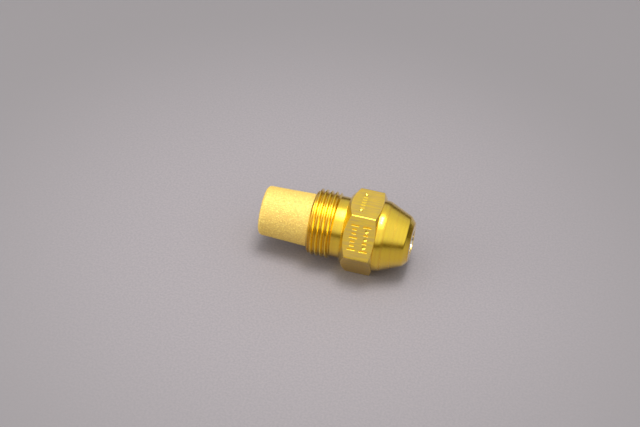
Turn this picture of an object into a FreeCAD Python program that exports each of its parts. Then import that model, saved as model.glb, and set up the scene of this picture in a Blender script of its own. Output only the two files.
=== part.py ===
import FreeCAD, Part
import math
import os

from FreeCAD import Vector

# Oil burner nozzle with a sintered filter. Millimetres.
# The nozzle axis is X and the spray leaves along +X. The origin is where the axis meets the plane of the
# body's rear seat face. +Z is up, and a hexagon flat faces -Z, so the nozzle lies on that flat.

INCH = 25.4

# Body, outside: standard 9/16-24 adapter thread and 5/8 in hexagon
THREAD_DIAMETER = 9 / 16 * INCH
THREAD_PITCH = INCH / 24
THREAD_LENGTH = 4.85          # rear seat face to the end of the full thread
REAR_LEAD_IN = 0.75           # 45 degree lead-in on the first thread
THREAD_END_CHAMFER = 0.4      # length of the slope from the last crest down to the neck
NECK_LENGTH = 2.15            # relief neck between thread and hexagon
HEX_ACROSS_FLATS = 5 / 8 * INCH
HEX_LENGTH = 7.15             # overall, chamfers included
HEX_EDGE_ROUND = 0.35         # rounding along the six long edges
HEX_REAR_RING_STEP = 0.64     # how far inside the flats the rear chamfer starts
HEX_REAR_CHAMFER_ANGLE = 40.0   # from a plane square to the axis
HEX_FRONT_RING_STEP = 0.1
HEX_FRONT_CHAMFER_ANGLE = 25.0
LAND_STEP = 0.36              # how far the land in front of the hexagon sits inside the flats
LAND_LENGTH = 0.95
CONE_LENGTH = 5.05
CONE_FRONT_RADIUS = 5.35
SHOULDER_LENGTH = 1.0
NOSE_FACE_RADIUS = 4.15
LAND_ROUND = 2.8
SHOULDER_ROUND = 0.5
NOSE_ROUND = 0.35
RING_ROUND = 0.15

# Body, inside
COUNTERBORE_CLEARANCE = 0.3   # round the locking screw, behind the inner thread
COUNTERBORE_CHAMFER = 0.4
CHAMBER_STEP = 0.03           # chamber inside the minor radius of the inner thread
NOSE_WALL = 2.6               # front face to the shoulder that the orifice disc seats on
NOSE_BORE_RADIUS = 2.5
THREAD_RELIEF_LENGTH = 1.0    # undercut in front of the inner thread

# Orifice disc
DISC_RECESS = 0.08            # front of the disc behind the nose face
DISC_LENGTH = 5.6
DISH_RADIUS = 1.9
DISH_WALL_DEPTH = 0.55        # steep wall round the dish
DISH_WALL_ANGLE = 8.0         # of that wall, from the axis
DISH_DEPTH = 0.95
ORIFICE_RADIUS = 0.15
ORIFICE_LENGTH = 0.35
SWIRL_RADIUS = 0.65
SWIRL_DEPTH = 0.4
SEAT_ANGLE = 45.0             # half angle of the swirl seat
CONE_FEED_GAP = 0.5           # oil annulus between the cone and the disc

# Swirl cone
CONE_BODY_RADIUS = 2.55
CONE_BODY_LENGTH = 2.4
STEM_RADIUS = 1.4
STEM_LENGTH = 2.6
SWIRL_SLOT_COUNT = 4
SWIRL_SLOT_WIDTH = 0.4
SWIRL_SLOT_DEPTH = 0.3

# Locking screw
SCREW_PITCH = 1.0
SCREW_DIAMETER = 9.0
SCREW_THREAD_LENGTH = 4.4
SCREW_NOSE_WALL = 0.5         # round the spigot's bore, which leaves an oil annulus outside
SCREW_NOSE_LENGTH = 6.6
SCREW_SLOT_WIDTH = 1.2
SCREW_SLOT_DEPTH = 1.0
SCREW_END_CHAMFER = 0.35
CROSS_HOLE_RADIUS = 0.7
CROSS_HOLE_COUNT = 4
CROSS_HOLE_SETBACK = 3.8      # hole centres behind the screw's front face

# Filter bush
SPIGOT_RADIUS = 2.57
SPIGOT_LENGTH = 3.6
BUSH_BORE_RADIUS = 2.0
BUSH_SHOULDER = 0.43          # step from the spigot up to the waist
BUSH_GRIP_LENGTH = 2.5        # pressed into the mouth of the filter
BUSH_GRIP_WALL = 0.9          # round the recess in the grip
BUSH_FLOOR = 0.8              # left between the recess and the waist

# Filter cup
CUP_LENGTH = 10.85
CUP_MOUTH_RADIUS = 5.75
CUP_END_RADIUS = 5.38
CUP_WALL = 0.8                # at the free end, where it is thinnest
CUP_END_WALL = 0.9
CUP_END_ROUND = 0.75

# Fits
SEAT_GAP = 0.02               # between parts that are lapped or clamped together
STEM_CLEARANCE = 0.05
SPIGOT_CLEARANCE = 0.03
THREAD_CLEARANCE = 0.06       # radial, and along the axis on each flank
FILTER_GAP = 0.05             # between the filter's mouth and the seat face
BUSH_STOP_GAP = 0.05          # between the bush's shoulder and the screw's rear face

# Thread form, both threads
FLANK_ANGLE = 30.0            # half of the 60 degree thread angle
CREST_SHARE = 1 / 8           # crest flat of the inner thread as a share of the pitch
OUTER_CREST_SHARE = 0.2       # the adapter thread is cut with a broader crest
DEPTH_SHARE = 0.5413          # basic thread depth as a share of the pitch
CUTTER_OVERRUN = 0.04         # how far a thread cutter reaches past the crest
THREAD_ARCS = 12              # a thread is made in this many equal arcs
FIRST_CREST = 1.0             # the first full crest, on the upper front side
CREST_DIRECTION = 40.0        # degrees about +X from +Z towards -Y where that crest is measured

# Setting marks: plain ticks and dimples pressed into two flats
MARK_WIDTH = 0.42
MARK_DEPTH = 0.22
MARK_SPACING = 0.86
TICK_LONG = 1.7
TICK_SHORT = 0.95
DIMPLE_RADIUS = 0.4
REAR_ROW = ("long", "short", "short", "long", "short", "short", "long")
FRONT_ROW = ("long", "dimple", "short", "dimple", "short", "dimple", "long")
TOP_ROW = ("dimple", "short", "short", "short", "short", "short", "dimple")
ROW_SETBACK = 4.5             # rear row, behind the front of the hexagon
ROW_STEP = 2.55               # front row, in front of the rear row
TOP_ROW_SETBACK = 4.1

TINY = 0.01                   # tools reach this far past the face that they cut
AXIS = Vector(1, 0, 0)
ORIGIN = Vector(0, 0, 0)


def tan_degrees(angle):
    return math.tan(math.radians(angle))


# Stations along X, from the seat face at 0 to the nose face
x_neck = THREAD_LENGTH + THREAD_END_CHAMFER
x_hex = x_neck + NECK_LENGTH
x_land = x_hex + HEX_LENGTH
x_cone = x_land + LAND_LENGTH
x_shoulder = x_cone + CONE_LENGTH
x_nose = x_shoulder + SHOULDER_LENGTH

thread_radius = THREAD_DIAMETER / 2
thread_root_radius = thread_radius - DEPTH_SHARE * THREAD_PITCH
neck_radius = thread_root_radius - 2 * TINY
flat_radius = HEX_ACROSS_FLATS / 2
corner_radius = flat_radius / math.cos(math.radians(30))
ring_radius = flat_radius - HEX_REAR_RING_STEP
front_ring_radius = flat_radius - HEX_FRONT_RING_STEP
land_radius = flat_radius - LAND_STEP

# Stations of the inner stack, worked back from the nose
seat_mouth_radius = CONE_BODY_RADIUS + CONE_FEED_GAP
x_disc_front = x_nose - DISC_RECESS
x_disc_shoulder = x_nose - NOSE_WALL
x_disc_rear = x_disc_front - DISC_LENGTH
x_dish = x_disc_front - DISH_DEPTH
x_dish_wall = x_disc_front - DISH_WALL_DEPTH
dish_floor_radius = DISH_RADIUS - DISH_WALL_DEPTH * tan_degrees(DISH_WALL_ANGLE)
x_swirl_front = x_dish - ORIFICE_LENGTH
x_seat_tip = x_swirl_front - SWIRL_DEPTH
x_seat_mouth = x_seat_tip - (seat_mouth_radius - SWIRL_RADIUS) / tan_degrees(SEAT_ANGLE)
x_cone_tip = x_seat_tip - SEAT_GAP / math.sin(math.radians(SEAT_ANGLE))
x_cone_edge = x_cone_tip - (CONE_BODY_RADIUS - SWIRL_RADIUS) / tan_degrees(SEAT_ANGLE)
x_cone_rear = x_cone_edge - CONE_BODY_LENGTH
x_screw_front = x_cone_rear - SEAT_GAP
x_screw_thread = x_screw_front - SCREW_NOSE_LENGTH
x_screw_rear = x_screw_thread - SCREW_THREAD_LENGTH
x_inner_thread_rear = x_screw_rear - SCREW_PITCH / 2
x_inner_thread_front = x_screw_thread + SCREW_PITCH / 4

screw_radius = SCREW_DIAMETER / 2 - THREAD_CLEARANCE
inner_minor_radius = SCREW_DIAMETER / 2 - DEPTH_SHARE * SCREW_PITCH
counterbore_radius = SCREW_DIAMETER / 2 + COUNTERBORE_CLEARANCE
chamber_radius = inner_minor_radius - CHAMBER_STEP
spigot_bore_radius = SPIGOT_RADIUS + SPIGOT_CLEARANCE
screw_nose_radius = spigot_bore_radius + SCREW_NOSE_WALL
stem_bore_radius = STEM_RADIUS + STEM_CLEARANCE
x_spigot_shoulder = x_screw_rear - BUSH_STOP_GAP
x_spigot_front = x_spigot_shoulder + SPIGOT_LENGTH
x_spigot_bore = x_spigot_front + 2 * STEM_CLEARANCE
waist_radius = SPIGOT_RADIUS + BUSH_SHOULDER
cup_bore_radius = CUP_END_RADIUS - CUP_WALL
x_cup_mouth = -FILTER_GAP
x_cup_end = x_cup_mouth - CUP_LENGTH


def turned(points, start=0.0, sweep=360.0):
    """A solid turned about the nozzle axis from an outline of (x, radius) points."""
    corners = [Vector(x, 0, radius) for x, radius in points]
    face = Part.Face(Part.makePolygon(corners + corners[:1]))
    face.rotate(ORIGIN, AXIS, start)
    return face.revolve(ORIGIN, AXIS, sweep)


def cylinder(radius, x_from, x_to):
    return Part.makeCylinder(radius, x_to - x_from, Vector(x_from, 0, 0), AXIS)


def ring_edges(solid, x, radius):
    """The circular edges of that radius about the axis, at that station."""
    found = []
    for edge in solid.Edges:
        curve = edge.Curve
        if not isinstance(curve, Part.Circle):
            continue
        near = abs(curve.Center.x - x) < TINY and abs(curve.Radius - radius) < TINY
        if near and math.hypot(curve.Center.y, curve.Center.z) < TINY:
            found.append(edge)
    return found


def rounded(solid, rings):
    """Rounds the edges named as (x, radius, rounding)."""
    for x, radius, rounding in rings:
        solid = solid.makeFillet(rounding, ring_edges(solid, x, radius))
    return solid


def groove_piece(pitch, inner, outer):
    """One arc of a thread groove as a solid, starting on +Z; inner and outer are (radius, width)."""
    path = Part.makeHelix(pitch, pitch / THREAD_ARCS, inner[0])
    corners = []
    for radius, half_width in ((inner[0], -inner[1] / 2), (inner[0], inner[1] / 2),
                               (outer[0], outer[1] / 2), (outer[0], -outer[1] / 2)):
        corners.append(Vector(radius, 0, half_width))
    piece = path.makePipeShell([Part.makePolygon(corners + corners[:1])], True, True)
    # the helix winds about +Z from +X: turn it to wind about +X, starting on +Z
    piece.rotate(ORIGIN, Vector(0, 1, 0), 90)
    piece.rotate(ORIGIN, AXIS, 180)
    return piece


def threaded(outline, pitch, at_x, direction, inner, outer):
    """A turned outline in equal arcs, each with its pieces of a helical groove cut out.

    The middle of the groove passes at_x where it points in direction, in degrees about +X from +Z.
    """
    arc = 360 / THREAD_ARCS
    x_low = min(x for x, radius in outline)
    x_high = max(x for x, radius in outline)
    arcs = []
    for number in range(THREAD_ARCS):
        x_groove = at_x + (number * arc - direction) / 360 * pitch
        x_groove -= math.ceil((x_groove - x_low) / pitch + 1) * pitch
        pieces = []
        while x_groove < x_high + pitch:
            piece = groove_piece(pitch, inner, outer)
            piece.rotate(ORIGIN, AXIS, number * arc)
            piece.translate(Vector(x_groove, 0, 0))
            pieces.append(piece)
            x_groove += pitch
        arcs.append(turned(outline, number * arc, arc).cut(pieces))
    return arcs


def groove_width(pitch, crest, depth):
    """Width of a thread groove at a depth below the crest; crest is the flat between grooves."""
    return pitch - crest - 2 * depth * tan_degrees(FLANK_ANGLE)


def adapter_thread():
    """Rear of the body with the outer thread; a crest passes FIRST_CREST in the crest direction."""
    outline = [(0, counterbore_radius), (0, thread_radius - REAR_LEAD_IN), (REAR_LEAD_IN, thread_radius),
               (THREAD_LENGTH, thread_radius), (x_neck, neck_radius), (x_neck, counterbore_radius)]
    depth = DEPTH_SHARE * THREAD_PITCH
    crest = OUTER_CREST_SHARE * THREAD_PITCH
    inner = (thread_root_radius, groove_width(THREAD_PITCH, crest, depth))
    outer = (thread_radius + CUTTER_OVERRUN, groove_width(THREAD_PITCH, crest, -CUTTER_OVERRUN))
    return threaded(outline, THREAD_PITCH, FIRST_CREST + THREAD_PITCH / 2, CREST_DIRECTION, inner, outer)


def hexagon():
    """Hexagon with rounded long edges and a chamfer turned on each end."""
    corners = []
    for number in range(7):
        angle = math.radians(60 * number)
        corners.append(Vector(x_hex, corner_radius * math.cos(angle), corner_radius * math.sin(angle)))
    prism = Part.Face(Part.makePolygon(corners)).extrude(AXIS * HEX_LENGTH)
    long_edges = [edge for edge in prism.Edges
                  if isinstance(edge.Curve, Part.Line) and abs(edge.Curve.Direction.x) > 0.5]
    prism = prism.makeFillet(HEX_EDGE_ROUND, long_edges)
    rear_run = (corner_radius - ring_radius) * tan_degrees(HEX_REAR_CHAMFER_ANGLE)
    front_run = (corner_radius - front_ring_radius) * tan_degrees(HEX_FRONT_CHAMFER_ANGLE)
    ends = turned([(x_hex, 0), (x_hex, ring_radius), (x_hex + rear_run, corner_radius),
                   (x_land - front_run, corner_radius), (x_land, front_ring_radius), (x_land, 0)])
    ends = rounded(ends, [(x_hex, ring_radius, RING_ROUND)])
    return prism.common(ends)


def nose():
    """Neck, land, cone and shoulder, turned in one piece and rounded where they meet."""
    outline = [(x_neck, 0), (x_neck, neck_radius), (x_hex + 1, neck_radius),
               (x_land - 1, land_radius), (x_cone, land_radius),
               (x_shoulder, CONE_FRONT_RADIUS), (x_nose, NOSE_FACE_RADIUS), (x_nose, 0)]
    return rounded(turned(outline), [(x_cone, land_radius, LAND_ROUND),
                                     (x_shoulder, CONE_FRONT_RADIUS, SHOULDER_ROUND),
                                     (x_nose, NOSE_FACE_RADIUS, NOSE_ROUND)])


def body_cavity():
    """Everything bored out of the body; the inner thread's ring is added afterwards."""
    rear = -TINY
    front = x_nose + TINY
    x_relief = x_inner_thread_front + THREAD_RELIEF_LENGTH
    outline = [(rear, 0), (rear, counterbore_radius + COUNTERBORE_CHAMFER + TINY),
               (COUNTERBORE_CHAMFER, counterbore_radius), (x_relief, counterbore_radius),
               (x_relief, chamber_radius), (x_disc_shoulder, chamber_radius),
               (x_disc_shoulder, NOSE_BORE_RADIUS), (front, NOSE_BORE_RADIUS), (front, 0)]
    return turned(outline)


def inner_thread():
    """The body's inner thread, a ring that fills the bore between counterbore and relief."""
    outline = [(x_inner_thread_rear, inner_minor_radius), (x_inner_thread_rear, counterbore_radius),
               (x_inner_thread_front, counterbore_radius), (x_inner_thread_front, inner_minor_radius)]
    depth = DEPTH_SHARE * SCREW_PITCH
    crest = CREST_SHARE * SCREW_PITCH
    inner = (inner_minor_radius - CUTTER_OVERRUN, groove_width(SCREW_PITCH, crest, -CUTTER_OVERRUN))
    outer = (inner_minor_radius + depth, groove_width(SCREW_PITCH, crest, depth))
    return threaded(outline, SCREW_PITCH, x_screw_rear, 0, inner, outer)


def screw_thread():
    """The locking screw's thread, half a pitch from the body's, so that ridge meets groove."""
    depth = DEPTH_SHARE * SCREW_PITCH
    body_groove = groove_width(SCREW_PITCH, CREST_SHARE * SCREW_PITCH, screw_radius - inner_minor_radius)
    crest = body_groove - 2 * THREAD_CLEARANCE
    inner = (screw_radius - depth, groove_width(SCREW_PITCH, crest, depth))
    outer = (screw_radius + CUTTER_OVERRUN, groove_width(SCREW_PITCH, crest, -CUTTER_OVERRUN))
    outline = [(x_screw_rear, spigot_bore_radius), (x_screw_rear, screw_radius - SCREW_END_CHAMFER),
               (x_screw_rear + SCREW_END_CHAMFER, screw_radius),
               (x_screw_thread - SCREW_END_CHAMFER, screw_radius),
               (x_screw_thread, screw_radius - SCREW_END_CHAMFER), (x_screw_thread, spigot_bore_radius)]
    return threaded(outline, SCREW_PITCH, x_screw_rear + SCREW_PITCH / 2, 0, inner, outer)


def tick(length):
    """A V groove along X, lying in the plane z = 0 with its edge down."""
    top = CUTTER_OVERRUN
    half = MARK_WIDTH / 2 * (MARK_DEPTH + top) / MARK_DEPTH
    corners = [Vector(-length / 2, -half, top), Vector(-length / 2, half, top),
               Vector(-length / 2, 0, -MARK_DEPTH), Vector(-length / 2, -half, top)]
    return Part.Face(Part.makePolygon(corners)).extrude(AXIS * length)


def dimple():
    """A cone with its point down, its rim in the plane z = 0."""
    top = CUTTER_OVERRUN
    rim = DIMPLE_RADIUS * (MARK_DEPTH + top) / MARK_DEPTH
    return Part.makeCone(rim, 0, MARK_DEPTH + top, Vector(0, 0, top), Vector(0, 0, -1))


def mark_row(names, x, flat_angle):
    """Marks spaced across the flat whose outward normal is flat_angle about +X from +Z."""
    tools = {"long": lambda: tick(TICK_LONG), "short": lambda: tick(TICK_SHORT), "dimple": dimple}
    row = []
    for number, name in enumerate(names):
        mark = tools[name]()
        mark.translate(Vector(x, (number - (len(names) - 1) / 2) * MARK_SPACING, flat_radius))
        mark.rotate(ORIGIN, AXIS, flat_angle)
        row.append(mark)
    return row


def nozzle_body():
    body = nose().fuse(adapter_thread() + [hexagon()])
    body = body.cut(body_cavity())
    body = body.fuse(inner_thread())
    x_rear_row = x_land - ROW_SETBACK
    marks = mark_row(REAR_ROW, x_rear_row, 60)
    marks += mark_row(FRONT_ROW, x_rear_row + ROW_STEP, 60)
    marks += mark_row(TOP_ROW, x_land - TOP_ROW_SETBACK, 0)
    return body.cut(marks)


def orifice_disc():
    outside = [(x_disc_rear, 0), (x_disc_rear, chamber_radius), (x_disc_shoulder, chamber_radius),
               (x_disc_shoulder, NOSE_BORE_RADIUS), (x_disc_front, NOSE_BORE_RADIUS), (x_disc_front, 0)]
    flow = [(x_disc_rear - TINY, 0), (x_disc_rear - TINY, seat_mouth_radius),
            (x_seat_mouth, seat_mouth_radius), (x_seat_tip, SWIRL_RADIUS),
            (x_swirl_front, SWIRL_RADIUS), (x_swirl_front, ORIFICE_RADIUS), (x_dish, ORIFICE_RADIUS),
            (x_dish_wall, dish_floor_radius), (x_disc_front, DISH_RADIUS),
            (x_disc_front + TINY, DISH_RADIUS), (x_disc_front + TINY, 0)]
    return turned(outside).cut(turned(flow))


def swirl_slot():
    """A bar that lies in the cone's slope and enters the swirl chamber at its rim."""
    slope_length = 2 * (CONE_BODY_RADIUS - SWIRL_RADIUS) / math.sin(math.radians(SEAT_ANGLE))
    bar = Part.makeBox(slope_length, SWIRL_SLOT_WIDTH, 2 * SWIRL_SLOT_DEPTH)
    bar.translate(Vector(-slope_length, -SWIRL_SLOT_WIDTH / 2, -SWIRL_SLOT_DEPTH))
    bar.translate(Vector(SWIRL_SLOT_WIDTH, 0, 0))
    bar.rotate(ORIGIN, Vector(0, 1, 0), SEAT_ANGLE)
    bar.translate(Vector(x_cone_tip, SWIRL_RADIUS - SWIRL_SLOT_WIDTH / 2, SWIRL_RADIUS))
    return bar


def swirl_cone():
    cone = turned([(x_cone_rear - STEM_LENGTH, 0), (x_cone_rear - STEM_LENGTH, STEM_RADIUS),
                   (x_cone_rear, STEM_RADIUS), (x_cone_rear, CONE_BODY_RADIUS),
                   (x_cone_edge, CONE_BODY_RADIUS), (x_cone_tip, SWIRL_RADIUS), (x_cone_tip, 0)])
    for number in range(SWIRL_SLOT_COUNT):
        slot = swirl_slot()
        slot.rotate(ORIGIN, AXIS, 360 / SWIRL_SLOT_COUNT * number)
        cone = cone.cut(slot)
    return cone


def locking_screw():
    nose_end = turned([(x_screw_thread - SCREW_PITCH, 0), (x_screw_thread - SCREW_PITCH, screw_nose_radius),
                       (x_screw_front, screw_nose_radius), (x_screw_front, 0)])
    bores = turned([(x_screw_rear - TINY, 0), (x_screw_rear - TINY, spigot_bore_radius),
                    (x_spigot_bore, spigot_bore_radius), (x_spigot_bore, stem_bore_radius),
                    (x_screw_front + TINY, stem_bore_radius), (x_screw_front + TINY, 0)])
    screw = nose_end.fuse(screw_thread()).cut(bores)
    slot = Part.makeBox(2 * SCREW_SLOT_DEPTH, 2 * SCREW_DIAMETER, SCREW_SLOT_WIDTH)
    slot.translate(Vector(x_screw_rear - SCREW_SLOT_DEPTH, -SCREW_DIAMETER, -SCREW_SLOT_WIDTH / 2))
    screw = screw.cut(slot)
    for number in range(CROSS_HOLE_COUNT):
        hole = Part.makeCylinder(CROSS_HOLE_RADIUS, 2 * screw_nose_radius,
                                 Vector(x_screw_front - CROSS_HOLE_SETBACK, 0, 0), Vector(0, 0, 1))
        hole.rotate(ORIGIN, AXIS, 360 / CROSS_HOLE_COUNT * number)
        screw = screw.cut(hole)
    return screw


def filter_bush():
    x_grip = x_cup_mouth - BUSH_GRIP_LENGTH
    x_recess = x_cup_mouth - BUSH_FLOOR
    recess_radius = cup_bore_radius - BUSH_GRIP_WALL
    return turned([(x_grip, recess_radius), (x_grip, cup_bore_radius), (x_cup_mouth, cup_bore_radius),
                   (x_cup_mouth, waist_radius), (x_spigot_shoulder, waist_radius),
                   (x_spigot_shoulder, SPIGOT_RADIUS), (x_spigot_front, SPIGOT_RADIUS),
                   (x_spigot_front, BUSH_BORE_RADIUS), (x_recess, BUSH_BORE_RADIUS),
                   (x_recess, recess_radius)])


def filter_cup():
    outside = turned([(x_cup_end, 0), (x_cup_end, CUP_END_RADIUS), (x_cup_mouth, CUP_MOUTH_RADIUS),
                      (x_cup_mouth, 0)])
    outside = rounded(outside, [(x_cup_end, CUP_END_RADIUS, CUP_END_ROUND)])
    return outside.cut(cylinder(cup_bore_radius, x_cup_end + CUP_END_WALL, x_cup_mouth + TINY))


def export(node, shape):
    solids = shape.Solids
    if len(solids) != 1 or not shape.isValid():
        raise RuntimeError(f"{node} is not one valid solid: {len(solids)} solids")
    print(node, round(shape.Volume, 2), "mm3", len(shape.Faces), "faces")
    solids[0].exportStep(os.path.join("parts", node + ".step"))


os.makedirs("parts", exist_ok=True)
for piece in (nozzle_body, orifice_disc, swirl_cone, locking_screw, filter_bush, filter_cup):
    export(piece.__name__, piece())
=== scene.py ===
# %% [markdown]
# # An oil burner nozzle on a bench
#
# This notebook dresses a finished CAD model of an oil burner nozzle: a brass body with a thread, a hexagon
# and a cone nose, a steel orifice disc in the tip, and a sintered bronze filter on the back.
# The model comes first, because everything else is placed from its corners.

# %% Load the nozzle
import math

import bpy
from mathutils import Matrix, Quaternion, Vector


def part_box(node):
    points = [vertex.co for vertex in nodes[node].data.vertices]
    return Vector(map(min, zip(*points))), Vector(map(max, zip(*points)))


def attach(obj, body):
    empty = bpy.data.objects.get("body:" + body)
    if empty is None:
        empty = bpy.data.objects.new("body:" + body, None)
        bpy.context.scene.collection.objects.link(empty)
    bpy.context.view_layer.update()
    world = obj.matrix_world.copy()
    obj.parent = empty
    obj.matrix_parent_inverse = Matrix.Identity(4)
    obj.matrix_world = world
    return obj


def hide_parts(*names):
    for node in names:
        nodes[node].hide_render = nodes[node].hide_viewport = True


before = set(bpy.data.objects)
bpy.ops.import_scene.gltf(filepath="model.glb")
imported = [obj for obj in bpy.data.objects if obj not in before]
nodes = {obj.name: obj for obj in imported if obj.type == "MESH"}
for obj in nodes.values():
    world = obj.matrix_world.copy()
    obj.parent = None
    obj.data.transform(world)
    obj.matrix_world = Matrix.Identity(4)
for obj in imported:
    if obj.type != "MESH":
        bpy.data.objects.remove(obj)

for name in ("Cube", "Light", "Camera"):        # what a new file starts with
    if name in bpy.data.objects:
        bpy.data.objects.remove(bpy.data.objects[name])
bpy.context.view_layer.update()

MM = 0.001
body_low, body_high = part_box("nozzle_body")
cup_low, cup_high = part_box("filter_cup")
print("nozzle body runs along X from", round(body_low.x / MM, 2), "to", round(body_high.x / MM, 2), "mm")
print("filter runs from", round(cup_low.x / MM, 2), "to", round(cup_high.x / MM, 2), "mm")

# %% [markdown]
# ## Where the eye is
#
# A small part is usually looked at from a hand's reach with a longish lens, which keeps its proportions.
# The camera could be placed by hand in the viewport. Here it is worked out from two angles and a distance,
# so the same line of sight can be found again: azimuth 0 looks along +Y, and elevation is above the bench.
# A small roll lets the nozzle's axis fall to the right, as it does when the part is simply put down.

# %% Camera
AZIMUTH = math.radians(10.7)
ELEVATION = math.radians(41.0)
ROLL = math.radians(5.4)
LENS_MM = 84.4
DISTANCE = 318 * MM
LOOK_AT = Vector((8 * MM, 0, 0))
SENSOR_WIDTH_MM = 36.0
NEAREST_SEEN = 10 * MM
FARTHEST_SEEN = 20.0
RIGHT_OF_MIDDLE = 6.25 * MM
BELOW_MIDDLE = 3.2 * MM

towards_eye = Vector((math.sin(AZIMUTH) * math.cos(ELEVATION),
                      -math.cos(AZIMUTH) * math.cos(ELEVATION),
                      math.sin(ELEVATION)))
turn = (-towards_eye).to_track_quat("-Z", "Y") @ Quaternion((0, 0, 1), ROLL)
to_the_right = turn @ Vector((1, 0, 0))
upwards = turn @ Vector((0, 1, 0))
middle_of_view = LOOK_AT - to_the_right * RIGHT_OF_MIDDLE + upwards * BELOW_MIDDLE

bpy.ops.object.select_all(action="DESELECT")
bpy.ops.object.camera_add(location=middle_of_view + towards_eye * DISTANCE)
camera = bpy.context.object
camera.name = "camera"
camera.rotation_mode = "QUATERNION"
camera.rotation_quaternion = turn
camera.data.lens = LENS_MM
camera.data.sensor_width = SENSOR_WIDTH_MM
camera.data.clip_start = NEAREST_SEEN
camera.data.clip_end = FARTHEST_SEEN
bpy.context.scene.camera = camera
print("camera stands", [round(c / MM) for c in camera.location], "mm from the rear seat")

# %% [markdown]
# ## The bench and the light
#
# Polished brass has almost no colour of its own: it shows what stands round it, tinted yellow. So the light
# is built as a place, not as a lamp. A soft box hangs straight above and gives the white streak along each
# turned surface. The sky round it is grey and falls off to a dark band at the horizon, which draws the
# brown line low on the cone. The camera itself sees plain grey in place of that band. The bench is a pale
# plain sheet that lights the metal from below. It is clear when seen from underneath, so that the lower
# flats can be looked at too.

# %% Node helpers: a new material
def new_material(name):
    """An empty material with its shader, and the tree to build in."""
    material = bpy.data.materials.new(name)
    material.use_nodes = True
    tree = material.node_tree
    tree.nodes.clear()
    output = tree.nodes.new("ShaderNodeOutputMaterial")
    shader = tree.nodes.new("ShaderNodeBsdfPrincipled")
    tree.links.new(shader.outputs["BSDF"], output.inputs["Surface"])
    return material, tree, shader


def feed(tree, source, socket):
    """Joins a socket to another, or writes a plain number or colour into it."""
    if isinstance(source, bpy.types.NodeSocket):
        tree.links.new(source, socket)
    else:
        socket.default_value = source


print("new_material and feed are ready")


# %% Node helpers: numbers
def add_math(tree, operation, first, second=0.0, clamp=False):
    """One sum or comparison of two numbers; clamp keeps the result between 0 and 1."""
    node = tree.nodes.new("ShaderNodeMath")
    node.operation = operation
    node.use_clamp = clamp
    feed(tree, first, node.inputs[0])
    feed(tree, second, node.inputs[1])
    return node.outputs[0]


def add_ramp(tree, value, low, high):
    """A smooth step: 0 at low, 1 at high; low may be the larger."""
    node = tree.nodes.new("ShaderNodeMapRange")
    node.interpolation_type = "SMOOTHSTEP"
    feed(tree, value, node.inputs["Value"])
    node.inputs["From Min"].default_value = low
    node.inputs["From Max"].default_value = high
    return node.outputs["Result"]


def add_length(tree, first, second):
    """The long side of a right-angled corner, from its two short sides."""
    squares = add_math(tree, "ADD", add_math(tree, "MULTIPLY", first, first),
                       add_math(tree, "MULTIPLY", second, second))
    return add_math(tree, "SQRT", squares)


def add_mix(tree, share, first, second, kind="RGBA"):
    """A mix of two colours, or of two numbers when kind is FLOAT; share 0 gives the first."""
    node = tree.nodes.new("ShaderNodeMix")
    node.data_type = kind
    feed(tree, share, node.inputs["Factor"])
    feed(tree, first, node.inputs["A"])
    feed(tree, second, node.inputs["B"])
    return node.outputs["Result"]


print("numbers and colours can be worked out in a shader")


# %% Node helpers: noise, bumps and place
def add_noise(tree, place, scale, detail=2.0, roughness=0.5, dimensions="3D"):
    """Noise in features per metre; in 1D the place is a number."""
    node = tree.nodes.new("ShaderNodeTexNoise")
    node.noise_dimensions = dimensions
    feed(tree, place, node.inputs["W" if dimensions == "1D" else "Vector"])
    node.inputs["Scale"].default_value = scale
    node.inputs["Detail"].default_value = detail
    node.inputs["Roughness"].default_value = roughness
    return node.outputs["Fac"]


def add_bump(tree, height, depth):
    """Raises a surface by height times depth metres."""
    node = tree.nodes.new("ShaderNodeBump")
    node.inputs["Distance"].default_value = depth
    feed(tree, height, node.inputs["Height"])
    return node.outputs["Normal"]


def object_place(tree):
    """Where a point is in the object's own coordinates."""
    return tree.nodes.new("ShaderNodeTexCoord").outputs["Object"]


print("noise, bumps and places can be added too")

# %% Bench top
BENCH_SIZE = 3.0
BENCH_PALE = (0.290, 0.264, 0.272, 1)
BENCH_FIBRE = (0.250, 0.230, 0.243, 1)
BENCH_FAR_SHADE = (0.215, 0.201, 0.206, 1)      # painted shade: darker away from the nozzle, outside a painted pool of light
BENCH_LIT_TO = 25 * MM
BENCH_SHADE_FROM = 95 * MM
FIBRE_SCALE = 2200                        # noise features per metre
FIBRE_EDGES = (0.3, 0.7)                  # noise below the first is fibre, above the second is pale
BENCH_ROUGHNESS = 0.75
BENCH_SHINE = 0.3
bpy.ops.object.select_all(action="DESELECT")
bpy.ops.mesh.primitive_plane_add(size=BENCH_SIZE, location=(0, 0, body_low.z))
bench = bpy.context.object
bench.name = "bench"

material, tree, shader = new_material("pale_card")
place = object_place(tree)
fibre = add_noise(tree, place, FIBRE_SCALE, detail=3)
colour = add_mix(tree, add_ramp(tree, fibre, *FIBRE_EDGES), BENCH_FIBRE, BENCH_PALE)
distance = tree.nodes.new("ShaderNodeVectorMath")
distance.operation = "LENGTH"
feed(tree, place, distance.inputs[0])
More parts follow.
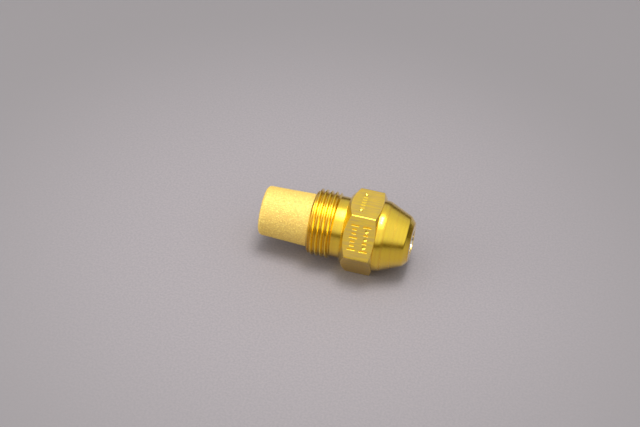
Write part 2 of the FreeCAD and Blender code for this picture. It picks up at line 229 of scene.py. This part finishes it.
# Painted pool of light: the bench is paler near the nozzle and darkens farther out, where less light would
# fall.
far_shade = add_ramp(tree, distance.outputs["Value"], BENCH_LIT_TO, BENCH_SHADE_FROM)
feed(tree, add_mix(tree, far_shade, colour, BENCH_FAR_SHADE), shader.inputs["Base Color"])
shader.inputs["Roughness"].default_value = BENCH_ROUGHNESS
shader.inputs["Specular IOR Level"].default_value = BENCH_SHINE
below = tree.nodes.new("ShaderNodeNewGeometry").outputs["Backfacing"]
clear = tree.nodes.new("ShaderNodeBsdfTransparent")
choice = tree.nodes.new("ShaderNodeMixShader")
feed(tree, below, choice.inputs["Fac"])
tree.links.new(shader.outputs["BSDF"], choice.inputs[1])
tree.links.new(clear.outputs["BSDF"], choice.inputs[2])
tree.links.new(choice.outputs["Shader"], tree.nodes["Material Output"].inputs["Surface"])
bench.data.materials.append(material)
print("bench at", round(body_low.z / MM, 3), "mm")

# %% Soft box and fill
def soft_box(name, place, size, power):
    """A rectangular area light that faces the nozzle."""
    bpy.ops.object.light_add(type="AREA", location=place)
    light = bpy.context.object
    light.name = name
    light.data.shape = "RECTANGLE"
    light.data.size, light.data.size_y = size
    light.data.energy = power
    light.rotation_euler = (LOOK_AT - Vector(place)).to_track_quat("-Z", "Y").to_euler()


BOX_HEIGHT = 0.55
BOX_TOWARDS_EYE = 0.033
BOX_SIZE = (0.62, 0.42)         # along X and along Y
BOX_POWER = 0.95
CORE_PLACE = (0.04, 0.0, BOX_HEIGHT - 0.02)     # a brighter middle just under the box
CORE_SIZE = (0.24, 0.14)
CORE_POWER = 1.75
CARD_PLACE = (-0.5, -0.28, 0.12)                # fills in the filter's side
CARD_SIZE = (0.5, 0.35)
CARD_POWER = 1.7
soft_box("overhead_box", (LOOK_AT.x, -BOX_TOWARDS_EYE, BOX_HEIGHT), BOX_SIZE, BOX_POWER)
soft_box("overhead_core", CORE_PLACE, CORE_SIZE, CORE_POWER)
soft_box("side_card", CARD_PLACE, CARD_SIZE, CARD_POWER)
print("soft box", BOX_HEIGHT, "m above the nozzle")

# %% Sky
SKY = (                                   # height above the horizon from 0 to 1, and colour
    (0.0, (0.055, 0.036, 0.026)),
    (0.15, (0.085, 0.06, 0.045)),
    (0.30, (0.50, 0.49, 0.49)),
    (0.45, (0.66, 0.66, 0.66)),
    (0.66, (0.70, 0.70, 0.70)),
    (1.0, (0.75, 0.75, 0.75)),
)
SKY_BEHIND = 0.9
SKY_IN_FRONT = 1.38
SKY_TURNS_OVER = 0.7                      # how far to the front and back the strength keeps changing
world = bpy.data.worlds.new("studio")
bpy.context.scene.world = world
world.use_nodes = True
tree = world.node_tree
tree.nodes.clear()
direction = tree.nodes.new("ShaderNodeTexCoord").outputs["Generated"]
split = tree.nodes.new("ShaderNodeSeparateXYZ")
feed(tree, direction, split.inputs["Vector"])
ramp = tree.nodes.new("ShaderNodeValToRGB")
feed(tree, split.outputs["Z"], ramp.inputs["Fac"])
while len(ramp.color_ramp.elements) < len(SKY):
    ramp.color_ramp.elements.new(0.5)
for stop, (height, colour) in zip(ramp.color_ramp.elements, SKY):
    stop.position = height
    stop.color = (*colour, 1)
background = tree.nodes.new("ShaderNodeBackground")
feed(tree, ramp.outputs["Color"], background.inputs["Color"])
towards_front = tree.nodes.new("ShaderNodeMapRange")
feed(tree, split.outputs["Y"], towards_front.inputs["Value"])
for label, value in (("From Min", SKY_TURNS_OVER), ("From Max", -SKY_TURNS_OVER),
                     ("To Min", SKY_BEHIND), ("To Max", SKY_IN_FRONT)):
    towards_front.inputs[label].default_value = value
feed(tree, towards_front.outputs["Result"], background.inputs["Strength"])
print("sky has", len(SKY), "steps from horizon to overhead")

# %% Backdrop
BACKDROP_GREY = (0.36, 0.35, 0.36, 1)     # what the camera sees past the bench
backdrop = tree.nodes.new("ShaderNodeBackground")
backdrop.inputs["Color"].default_value = BACKDROP_GREY
seen = tree.nodes.new("ShaderNodeLightPath").outputs["Is Camera Ray"]
choice = tree.nodes.new("ShaderNodeMixShader")
feed(tree, seen, choice.inputs["Fac"])
tree.links.new(background.outputs["Background"], choice.inputs[1])
tree.links.new(backdrop.outputs["Background"], choice.inputs[2])
output = tree.nodes.new("ShaderNodeOutputWorld")
tree.links.new(choice.outputs["Shader"], output.inputs["Surface"])
bpy.context.scene.view_settings.view_transform = "Standard"
print("the camera sees grey past the bench")

# %% [markdown]
# ## Knowing where on the nozzle a point is
#
# A lathe leaves rings, a drawing die leaves straight streaks along the flats, and dirt sits in grooves.
# Each mark needs to know where it is: how far along the axis, how far out from it, and how near a flat.
# Those three numbers come from the object's own coordinates, in one shader group that every metal uses.

# %% Group: where on the nozzle
FLAT_PAIRS = 3          # of the hexagon


def new_group(name, inputs, outputs):
    """An empty shader group with named sockets; returns its tree, input node and output node."""
    group = bpy.data.node_groups.new(name, "ShaderNodeTree")
    for label, kind, start in inputs:
        socket = group.interface.new_socket(name=label, in_out="INPUT", socket_type=kind)
        if start is not None:
            socket.default_value = start
    for label, kind in outputs:
        group.interface.new_socket(name=label, in_out="OUTPUT", socket_type=kind)
    return group, group.nodes.new("NodeGroupInput"), group.nodes.new("NodeGroupOutput")


def use_group(tree, group, **values):
    """Places a group in a tree and sets its inputs; underscores stand for spaces."""
    node = tree.nodes.new("ShaderNodeGroup")
    node.node_tree = group
    for label, value in values.items():
        feed(tree, value, node.inputs[label.replace("_", " ")])
    return node.outputs


def flat_height(tree, y, z, number):
    """Distance from the axis measured square to one pair of flats."""
    angle = number * math.pi / FLAT_PAIRS
    along_y = add_math(tree, "MULTIPLY", y, math.sin(angle))
    along_z = add_math(tree, "MULTIPLY", z, math.cos(angle))
    return add_math(tree, "ABSOLUTE", add_math(tree, "ADD", along_y, along_z))


nozzle_place, group_in, group_out = new_group(
    "nozzle_place",
    [("Place", "NodeSocketVector", None)],
    [("Station", "NodeSocketFloat"), ("Radius", "NodeSocketFloat"),
     ("Flat Height", "NodeSocketFloat")])
split = nozzle_place.nodes.new("ShaderNodeSeparateXYZ")
feed(nozzle_place, group_in.outputs["Place"], split.inputs["Vector"])
x, y, z = split.outputs
highest = flat_height(nozzle_place, y, z, 0)
for number in range(1, FLAT_PAIRS):
    highest = add_math(nozzle_place, "MAXIMUM", highest, flat_height(nozzle_place, y, z, number))
feed(nozzle_place, x, group_out.inputs["Station"])
feed(nozzle_place, add_length(nozzle_place, y, z), group_out.inputs["Radius"])
feed(nozzle_place, highest, group_out.inputs["Flat Height"])
print("group nozzle_place:", [s.name for s in group_out.inputs if s.name])

# %% [markdown]
# ## Tool marks
#
# A turning tool cuts a fine spiral, so a turned surface is a stack of rings that differ a little in depth.
# One-dimensional noise along the profile is exactly that. It could be painted as a texture, but noise on
# the profile length fits every diameter and needs no unwrapping.

# %% Group: turning rings
turning_rings, group_in, group_out = new_group(
    "turning_rings",
    [("Station", "NodeSocketFloat", 0.0), ("Radius", "NodeSocketFloat", 0.0),
     ("Pitch", "NodeSocketFloat", 0.3 * MM)],
    [("Height", "NodeSocketFloat"), ("Tone", "NodeSocketFloat")])
SLOPE_SHARE = 0.8       # how much the radius counts beside the station, so faces get rings too
BANDS_PER_RING = 0.21   # slow changes of tone, each as wide as about five rings
inwards = add_math(turning_rings, "MULTIPLY", group_in.outputs["Radius"], SLOPE_SHARE)
length = add_math(turning_rings, "SUBTRACT", group_in.outputs["Station"], inwards)
rings = add_math(turning_rings, "DIVIDE", length, group_in.outputs["Pitch"])
fine = add_noise(turning_rings, rings, 1.0, detail=4, roughness=0.62, dimensions="1D")
slow = add_noise(turning_rings, rings, BANDS_PER_RING, detail=2, dimensions="1D")
feed(turning_rings, fine, group_out.inputs["Height"])
feed(turning_rings, slow, group_out.inputs["Tone"])
print("group turning_rings: rings and slow bands")

# %% Group: drawn streaks
STREAK_SCALE = 5000     # noise features per metre across the streaks
STREAK_STRETCH = 0.05   # how much slower the noise changes along them
drawn_streaks, group_in, group_out = new_group(
    "drawn_streaks",
    [("Place", "NodeSocketVector", None), ("Stretch", "NodeSocketFloat", STREAK_STRETCH)],
    [("Height", "NodeSocketFloat")])
split = drawn_streaks.nodes.new("ShaderNodeSeparateXYZ")
feed(drawn_streaks, group_in.outputs["Place"], split.inputs["Vector"])
join = drawn_streaks.nodes.new("ShaderNodeCombineXYZ")
feed(drawn_streaks, add_math(drawn_streaks, "MULTIPLY", split.outputs["X"], group_in.outputs["Stretch"]),
     join.inputs["X"])
feed(drawn_streaks, split.outputs["Y"], join.inputs["Y"])
feed(drawn_streaks, split.outputs["Z"], join.inputs["Z"])
streaks = add_noise(drawn_streaks, join.outputs["Vector"], STREAK_SCALE, detail=4, roughness=0.6)
feed(drawn_streaks, streaks, group_out.inputs["Height"])
print("group drawn_streaks: long along X")

# %% Group: tarnish
CLOUD_SCALE = 260       # noise features per metre
SPOT_SCALE = 2400
SPOT_SHARE = 0.6
CLOUD_EDGES = (0.42, 0.72)      # noise between which a cloud fades in
SPOT_EDGES = (0.62, 0.8)
tarnish, group_in, group_out = new_group(
    "tarnish", [("Place", "NodeSocketVector", None), ("Amount", "NodeSocketFloat", 0.5)],
    [("Mask", "NodeSocketFloat")])
cloud = add_noise(tarnish, group_in.outputs["Place"], CLOUD_SCALE, detail=5, roughness=0.6)
spots = add_noise(tarnish, group_in.outputs["Place"], SPOT_SCALE, detail=3, roughness=0.7)
both = add_math(tarnish, "ADD", add_ramp(tarnish, cloud, *CLOUD_EDGES),
                add_math(tarnish, "MULTIPLY", add_ramp(tarnish, spots, *SPOT_EDGES), SPOT_SHARE))
feed(tarnish, add_math(tarnish, "MULTIPLY", both, group_in.outputs["Amount"], clamp=True),
     group_out.inputs["Mask"])
print("group tarnish: clouds and spots")

# %% [markdown]
# ## Brass
#
# Free-cutting brass is bright where the tool has been, browner where it has been handled, and darkest in
# the bottom of a groove, where dirt and oil stay and where shade is painted into the colour as well. The
# flats come from drawn bar, so they are duller than the turned surfaces. One function makes each brass, and
# the body's own masks are added on top.

# %% Brass colours
BRASS_BRIGHT = (0.97, 0.68, 0.045, 1)
BRASS_DULL = (0.86, 0.55, 0.08, 1)
BRASS_BAND = (0.91, 0.57, 0.04, 1)
BRASS_DRAWN = (0.79, 0.53, 0.11, 1)
# The dark brown below is dirt and painted shade in the thread's root, and it also darkens the pressed
# marks.
BRASS_DIRT_AND_SHADE = (0.45, 0.23, 0.03, 1)
OIL_FILM = 0.6          # a new nozzle is packed with a thin film of oil on it
OIL_ROUGHNESS = 0.12
BRASS_ROUGHNESS = 0.13
STAIN_ROUGHENS = 0.16
BANDS_ROUGHEN = 0.16
DRAWING_ROUGHENS = 0.13
DIRT_ROUGHENS = 0.25
RING_PITCH = 0.28 * MM
RING_DEPTH = 0.009 * MM
BAND_EDGES = (0.45, 0.75)       # tone between which a band fades in
STREAK_EDGES = (0.3, 0.65)
print("brass goes from", BRASS_BRIGHT[:3], "to", BRASS_DIRT_AND_SHADE[:3])

# %% Marks on the body
THREAD_FRONT = 5.2 * MM
THREAD_ROOT = 6.57 * MM
FLAT = 7.9375 * MM                      # from the axis to a hexagon flat
MARKS_FROM, MARKS_TO = 8.7 * MM, 13.8 * MM      # stations between which marks are pressed
FADE = 0.1 * MM                         # how soon a mark's edge fades out
GROOVE_FROM, GROOVE_FULL = THREAD_ROOT + 0.22 * MM, THREAD_ROOT + 0.02 * MM
PRESSED_FROM, PRESSED_FULL = FLAT - 0.1 * MM, FLAT - 0.22 * MM
FLAT_FROM, FLAT_FULL = FLAT - 0.02 * MM, FLAT - 0.008 * MM
# How strongly dirt and painted shade darken the thread's root, and how strongly the pressed marks are
# darkened.
GROOVE_DIRT_AND_SHADE = 0.4
PRESSED_DARKENING = 0.4


def drawn_flats(tree, place, where):
    """How much a point is on a flat, and the height of the drawing streaks there."""
    on_flat = add_ramp(tree, where["Flat Height"], FLAT_FROM, FLAT_FULL)
    streaks = use_group(tree, drawn_streaks, Place=place, Stretch=STREAK_STRETCH)["Height"]
    return on_flat, streaks


def grime_and_shade(tree, where):
    """Dirt and painted shade at the bottom of the thread, and darkening in the pressed marks, from 0 to 1.
    """
    in_thread = add_ramp(tree, where["Station"], THREAD_FRONT, THREAD_FRONT - FADE)
    deep = add_ramp(tree, where["Radius"], GROOVE_FROM, GROOVE_FULL)
    groove = add_math(tree, "MULTIPLY", in_thread, deep)
    past_start = add_ramp(tree, where["Station"], MARKS_FROM - FADE, MARKS_FROM + FADE)
    before_end = add_ramp(tree, where["Station"], MARKS_TO + FADE, MARKS_TO - FADE)
    below_flat = add_ramp(tree, where["Flat Height"], PRESSED_FROM, PRESSED_FULL)
    pressed = add_math(tree, "MULTIPLY", add_math(tree, "MULTIPLY", past_start, before_end), below_flat)
    return add_math(tree, "MAXIMUM", add_math(tree, "MULTIPLY", groove, GROOVE_DIRT_AND_SHADE),
                    add_math(tree, "MULTIPLY", pressed, PRESSED_DARKENING))


print("dirt lies below a radius of", round(GROOVE_FROM / MM, 2), "mm in the thread")


# %% Brass
def brass(name, dullness, body_marks=False):
    """Turned brass; the body also gets its drawn flats, and dirt and painted shade in its hollows."""
    material, tree, shader = new_material(name)
    place = object_place(tree)
    where = use_group(tree, nozzle_place, Place=place)
    rings = use_group(tree, turning_rings, Station=where["Station"], Radius=where["Radius"],
                      Pitch=RING_PITCH)
    stain = use_group(tree, tarnish, Place=place, Amount=dullness)["Mask"]
    colour = add_mix(tree, stain, BRASS_BRIGHT, BRASS_DULL)
    colour = add_mix(tree, add_ramp(tree, rings["Tone"], *BAND_EDGES), colour, BRASS_BAND)
    rough = add_math(tree, "ADD", BRASS_ROUGHNESS, add_math(tree, "MULTIPLY", stain, STAIN_ROUGHENS))
    rough = add_math(tree, "ADD", rough, add_math(tree, "MULTIPLY", rings["Tone"], BANDS_ROUGHEN))
    height = rings["Height"]
    if body_marks:
        on_flat, streaks = drawn_flats(tree, place, where)
        height = add_mix(tree, on_flat, height, streaks, kind="FLOAT")
        drawn = add_math(tree, "MULTIPLY", on_flat, add_ramp(tree, streaks, *STREAK_EDGES))
        colour = add_mix(tree, drawn, colour, BRASS_DRAWN)
        rough = add_math(tree, "ADD", rough, add_math(tree, "MULTIPLY", on_flat, DRAWING_ROUGHENS))
        # Dirt and painted shade darken the thread's root, and the pressed marks are darkened too.
        dirt_and_shade = grime_and_shade(tree, where)
        colour = add_mix(tree, dirt_and_shade, colour, BRASS_DIRT_AND_SHADE)
        rough = add_math(tree, "ADD", rough, add_math(tree, "MULTIPLY", dirt_and_shade, DIRT_ROUGHENS))
    feed(tree, colour, shader.inputs["Base Color"])
    feed(tree, rough, shader.inputs["Roughness"])
    feed(tree, add_bump(tree, height, RING_DEPTH), shader.inputs["Normal"])
    shader.inputs["Metallic"].default_value = 1.0
    shader.inputs["Coat Weight"].default_value = OIL_FILM
    shader.inputs["Coat Roughness"].default_value = OIL_ROUGHNESS
    return material


def dress(node_name, material):
    """Gives a CAD node one material."""
    piece = nodes[node_name]
    piece.data.materials.clear()
    piece.data.materials.append(material)


BODY_TARNISH, SCREW_TARNISH, BUSH_TARNISH = 0.35, 0.55, 0.45
dress("nozzle_body", brass("brass_body", BODY_TARNISH, body_marks=True))
dress("locking_screw", brass("brass_screw", SCREW_TARNISH))
dress("filter_bush", brass("brass_bush", BUSH_TARNISH))
print("brass on", [n for n in nodes if nodes[n].data.materials[0].name.startswith("brass")])

# %% [markdown]
# ## Stainless steel
#
# The orifice disc and the swirl cone are hard stainless, turned and then lapped. They are grey and cooler
# than the brass, with the same rings but finer, and a faint straw tint from the warm metal round them.

# %% Stainless
STEEL_BRIGHT = (0.66, 0.64, 0.60, 1)
STEEL_DULL = (0.42, 0.38, 0.33, 1)
STEEL_TARNISH = 0.3
STEEL_ROUGHNESS = 0.17
STEEL_BANDS_ROUGHEN = 0.15
STEEL_RING_DEPTH = 0.003 * MM


def stainless(name, pitch):
    """Lapped steel with rings of the given pitch."""
    material, tree, shader = new_material(name)
    place = object_place(tree)
    where = use_group(tree, nozzle_place, Place=place)
    rings = use_group(tree, turning_rings, Station=where["Station"], Radius=where["Radius"], Pitch=pitch)
    stain = use_group(tree, tarnish, Place=place, Amount=STEEL_TARNISH)["Mask"]
    bands = add_math(tree, "MULTIPLY", rings["Tone"], STEEL_BANDS_ROUGHEN)
    rough = add_math(tree, "ADD", STEEL_ROUGHNESS, bands)
    feed(tree, add_mix(tree, stain, STEEL_BRIGHT, STEEL_DULL), shader.inputs["Base Color"])
    feed(tree, rough, shader.inputs["Roughness"])
    feed(tree, add_bump(tree, rings["Height"], STEEL_RING_DEPTH), shader.inputs["Normal"])
    shader.inputs["Metallic"].default_value = 1.0
    return material


DISC_RING_PITCH = 0.16 * MM
CONE_RING_PITCH = 0.2 * MM
dress("orifice_disc", stainless("stainless_disc", DISC_RING_PITCH))
dress("swirl_cone", stainless("stainless_cone", CONE_RING_PITCH))
print("stainless on the disc and the cone")

# %% [markdown]
# ## The sintered filter
#
# The filter is a thimble of bronze beads, poured into a mould and baked until they just join. Its surface
# is beads, not a smooth wall. Thousands of separate balls would be far too heavy, so the wall is one dense
# skin. A tapered cone is bored out, its free end is rounded, and its skin is cut into rows fine enough for
# a cell pattern to press dimples between the beads. The skin only ever moves inwards, so the cup keeps the
# size of its CAD solid.

# %% Cup blank
CUP_SIDES = 520
CUP_TAPER = 0.37 * MM           # lost from the radius between the mouth and the free end
CUP_WALL = 0.8 * MM             # at the free end
CUP_FLOOR = 0.9 * MM
MOUTH_RADIUS = cup_high.z
END_RADIUS = MOUTH_RADIUS - CUP_TAPER
BORE_RADIUS = END_RADIUS - CUP_WALL
END_ROUND = 0.75 * MM
ROUND_STEPS = 8
SIDE_ROWS = 136
END_RINGS = 38
cup_length = cup_high.x - cup_low.x

bpy.ops.object.select_all(action="DESELECT")
bpy.ops.mesh.primitive_cone_add(vertices=CUP_SIDES, radius1=END_RADIUS, radius2=MOUTH_RADIUS,
                                depth=cup_length, location=((cup_low.x + cup_high.x) / 2, 0, 0),
                                rotation=(0, math.radians(90), 0))
cup = bpy.context.object
cup.name = "sintered_cup"
bpy.ops.object.transform_apply(location=True, rotation=True, scale=True)
print("cup blank:", len(cup.data.vertices), "vertices")


# %% Select by place
def select_only(piece, kind, test):
    """In edit mode, selects the vertices, edges or faces that pass a test; returns how many."""
    bpy.ops.mesh.select_mode(type=kind)
    bpy.ops.mesh.select_all(action="DESELECT")
    bpy.ops.object.mode_set(mode="OBJECT")
    mesh = piece.data
    found = 0
    for part in {"VERT": mesh.vertices, "EDGE": mesh.edges, "FACE": mesh.polygons}[kind]:
        if kind == "VERT":
            middle = part.co
        elif kind == "EDGE":
            middle = (mesh.vertices[part.vertices[0]].co + mesh.vertices[part.vertices[1]].co) / 2
        else:
            middle = part.center
        part.select = bool(test(middle, part))
        found += part.select
    bpy.ops.object.mode_set(mode="EDIT")
    return found


def out_from_axis(point):
    """A point's distance from the nozzle's axis."""
    return math.hypot(point.y, point.z)


def near(first, second, within=0.01 * MM):
    """Whether two lengths are the same but for rounding."""
    return abs(first - second) < within


print("select_only picks parts by their place")

# %% Bore the cup
bpy.ops.object.mode_set(mode="EDIT")
select_only(cup, "FACE", lambda middle, face: near(middle.x, cup_high.x) and len(face.vertices) > 4)
bpy.ops.mesh.inset(thickness=MOUTH_RADIUS - BORE_RADIUS)
bore_depth = cup_length - CUP_FLOOR
bpy.ops.mesh.extrude_region_move(TRANSFORM_OT_translate={"value": (-bore_depth, 0, 0)})
print("bore", round(bore_depth / MM, 2), "mm deep")

# %% Round the free end
edges = select_only(cup, "EDGE", lambda middle, edge: near(middle.x, cup_low.x))
bpy.ops.mesh.bevel(offset=END_ROUND, offset_type="OFFSET", segments=ROUND_STEPS, profile=0.5)
print("rounded", edges, "edges at the free end")


# %% Cut the skin into rows and rings
OUTSIDE = BORE_RADIUS + 0.3 * MM        # farther from the axis than this is the outer wall


def runs_along(piece, edge):
    """Whether an edge runs most of the cup's length."""
    first, second = (piece.data.vertices[v].co for v in edge.vertices)
    return abs(second.x - first.x) > cup_length / 2


edges = select_only(cup, "EDGE",
                    lambda middle, edge: runs_along(cup, edge) and out_from_axis(middle) > OUTSIDE)
bpy.ops.mesh.subdivide(number_cuts=SIDE_ROWS - 1)
ring_step = (END_RADIUS - END_ROUND) / (END_RINGS + 1)
select_only(cup, "FACE", lambda middle, face: near(middle.x, cup_low.x) and len(face.vertices) > 4)
for _ in range(END_RINGS):
    bpy.ops.mesh.inset(thickness=ring_step)
bpy.ops.mesh.poke()
bpy.ops.object.mode_set(mode="OBJECT")
print("side edges cut:", edges, "- cup has", len(cup.data.polygons), "faces")

# %% [markdown]
# ## Beads
#
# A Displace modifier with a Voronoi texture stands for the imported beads. How much farther the second
# nearest point is than the nearest is zero on the seam between two cells and grows towards their middles,
# so each cell becomes a small dome with a valley round it. The modifier's middle level is set just above
# the top of the pattern, so that nothing moves out past the moulded outline and the valleys move in.
# A vertex group keeps the bore and the mouth smooth, where the brass bush is pressed in.

# %% Press in the beads
BEAD_SIZE = 0.34 * MM
BEAD_RELIEF = 0.1 * MM
DOME_STEEPNESS = 2.0
LEVEL_ABOVE_DOMES = 1.05        # the pattern's own top is 1
SMOOTH_MOUTH = 0.05 * MM        # left plain at the mouth
SMOOTH_BORE = 0.2 * MM          # left plain round the bore
SMOOTH_ANGLE = math.radians(50)

skin = cup.vertex_groups.new(name="skin")
on_skin = [v.index for v in cup.data.vertices
           if v.co.x < cup_high.x - SMOOTH_MOUTH
           and (out_from_axis(v.co) > BORE_RADIUS + SMOOTH_BORE or v.co.x < cup_low.x + CUP_FLOOR / 2)]
skin.add(on_skin, 1.0, "REPLACE")

beads = bpy.data.textures.new("packed_beads", "VORONOI")
beads.distance_metric = "DISTANCE"
beads.weight_1 = -1.0
beads.weight_2 = 1.0
beads.noise_scale = BEAD_SIZE
beads.noise_intensity = DOME_STEEPNESS
press = cup.modifiers.new("beads", "DISPLACE")
press.texture = beads
press.texture_coords = "LOCAL"
press.vertex_group = skin.name
press.direction = "NORMAL"
press.mid_level = LEVEL_ABOVE_DOMES
press.strength = BEAD_RELIEF
bpy.context.view_layer.objects.active = cup
bpy.ops.object.modifier_apply(modifier=press.name)

bpy.ops.object.select_all(action="DESELECT")
cup.select_set(True)
bpy.ops.object.shade_smooth_by_angle(angle=SMOOTH_ANGLE)
print("skin of", len(on_skin), "points")

# %% How deep the beads went
END_FACE_RADIUS = 3 * MM
END_FACE_DEPTH = 0.5 * MM
depths = [v.co.x - cup_low.x for v in cup.data.vertices
          if out_from_axis(v.co) < END_FACE_RADIUS and v.co.x < cup_low.x + END_FACE_DEPTH]
print("end face moved in by", round(min(depths) / MM, 3), "to", round(max(depths) / MM, 3), "mm")

# %% Place of the cup in the model
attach(cup, "filter")
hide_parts("filter_cup")
cup.data.calc_loop_triangles()
print("cup:", len(cup.data.loop_triangles), "triangles")

# %% [markdown]
# ## Sintered bronze
#
# Each bead is a pale gold, a little different from the next, and the gaps between beads are darker,
# because light goes in and does not come out. How deep a point lies under the cup's moulded outline can be
# worked out from its place alone: the outline is a straight taper with a rounded end. That depth gives the
# gaps their shade.

# %% Group: depth between beads
bead_gaps, group_in, group_out = new_group(
    "bead_gaps", [("Place", "NodeSocketVector", None)], [("Depth", "NodeSocketFloat")])
where = use_group(bead_gaps, nozzle_place, Place=group_in.outputs["Place"])
from_end = add_math(bead_gaps, "SUBTRACT", where["Station"], cup_low.x)
taper = (MOUTH_RADIUS - END_RADIUS) / cup_length
widening = add_math(bead_gaps, "MULTIPLY", from_end, taper)
outline = add_math(bead_gaps, "ADD", END_RADIUS - END_ROUND, widening)
past_side = add_math(bead_gaps, "SUBTRACT", where["Radius"], outline)
past_end = add_math(bead_gaps, "SUBTRACT", END_ROUND, from_end)
side_out = add_math(bead_gaps, "MAXIMUM", past_side, 0.0)
end_out = add_math(bead_gaps, "MAXIMUM", past_end, 0.0)
corner = add_length(bead_gaps, side_out, end_out)
inside = add_math(bead_gaps, "MINIMUM", add_math(bead_gaps, "MAXIMUM", past_side, past_end), 0.0)
feed(bead_gaps, add_math(bead_gaps, "SUBTRACT", END_ROUND, add_math(bead_gaps, "ADD", corner, inside)),
     group_out.inputs["Depth"])
print("group bead_gaps: depth under the moulded outline, in metres")

# %% Bronze material
BEAD_DARKEST = (0.92, 0.65, 0.13, 1)
BEAD_PALEST = (0.97, 0.73, 0.18, 1)
BEAD_TARNISHED = (0.80, 0.50, 0.11, 1)
GAP_SHADE = (0.58, 0.35, 0.09, 1)
GAP_STRENGTH = 0.55
GAP_FROM, GAP_FULL = 0.055 * MM, 0.105 * MM     # depth under the outline
BRONZE_TARNISH = 0.35
BRONZE_METALLIC = 0.3           # rough beads scatter light more like clay than like a mirror
BEAD_ROUGHNESS = 0.42
GAPS_ROUGHEN = 0.3
GRIT_SCALE = 14000              # noise features per metre
GRIT_DEPTH = 0.012 * MM

material, tree, shader = new_material("sintered_bronze")
place = object_place(tree)
depth = use_group(tree, bead_gaps, Place=place)["Depth"]
cells = tree.nodes.new("ShaderNodeTexVoronoi")
cells.inputs["Scale"].default_value = 1 / BEAD_SIZE
feed(tree, place, cells.inputs["Vector"])
bead_tone = tree.nodes.new("ShaderNodeSeparateColor")
feed(tree, cells.outputs["Color"], bead_tone.inputs["Color"])
stain = use_group(tree, tarnish, Place=place, Amount=BRONZE_TARNISH)["Mask"]
colour = add_mix(tree, bead_tone.outputs["Red"], BEAD_DARKEST, BEAD_PALEST)
colour = add_mix(tree, stain, colour, BEAD_TARNISHED)
gap = add_ramp(tree, depth, GAP_FROM, GAP_FULL)
colour = add_mix(tree, add_math(tree, "MULTIPLY", gap, GAP_STRENGTH), colour, GAP_SHADE)
feed(tree, colour, shader.inputs["Base Color"])
shader.inputs["Metallic"].default_value = BRONZE_METALLIC
rough = add_math(tree, "ADD", BEAD_ROUGHNESS, add_math(tree, "MULTIPLY", gap, GAPS_ROUGHEN))
feed(tree, rough, shader.inputs["Roughness"])
grit = add_noise(tree, place, GRIT_SCALE, detail=3, roughness=0.6)
feed(tree, add_bump(tree, grit, GRIT_DEPTH), shader.inputs["Normal"])
cup.data.materials.clear()
cup.data.materials.append(material)
dress("filter_cup", material)
print("bronze beads of", round(BEAD_SIZE / MM, 2), "mm")
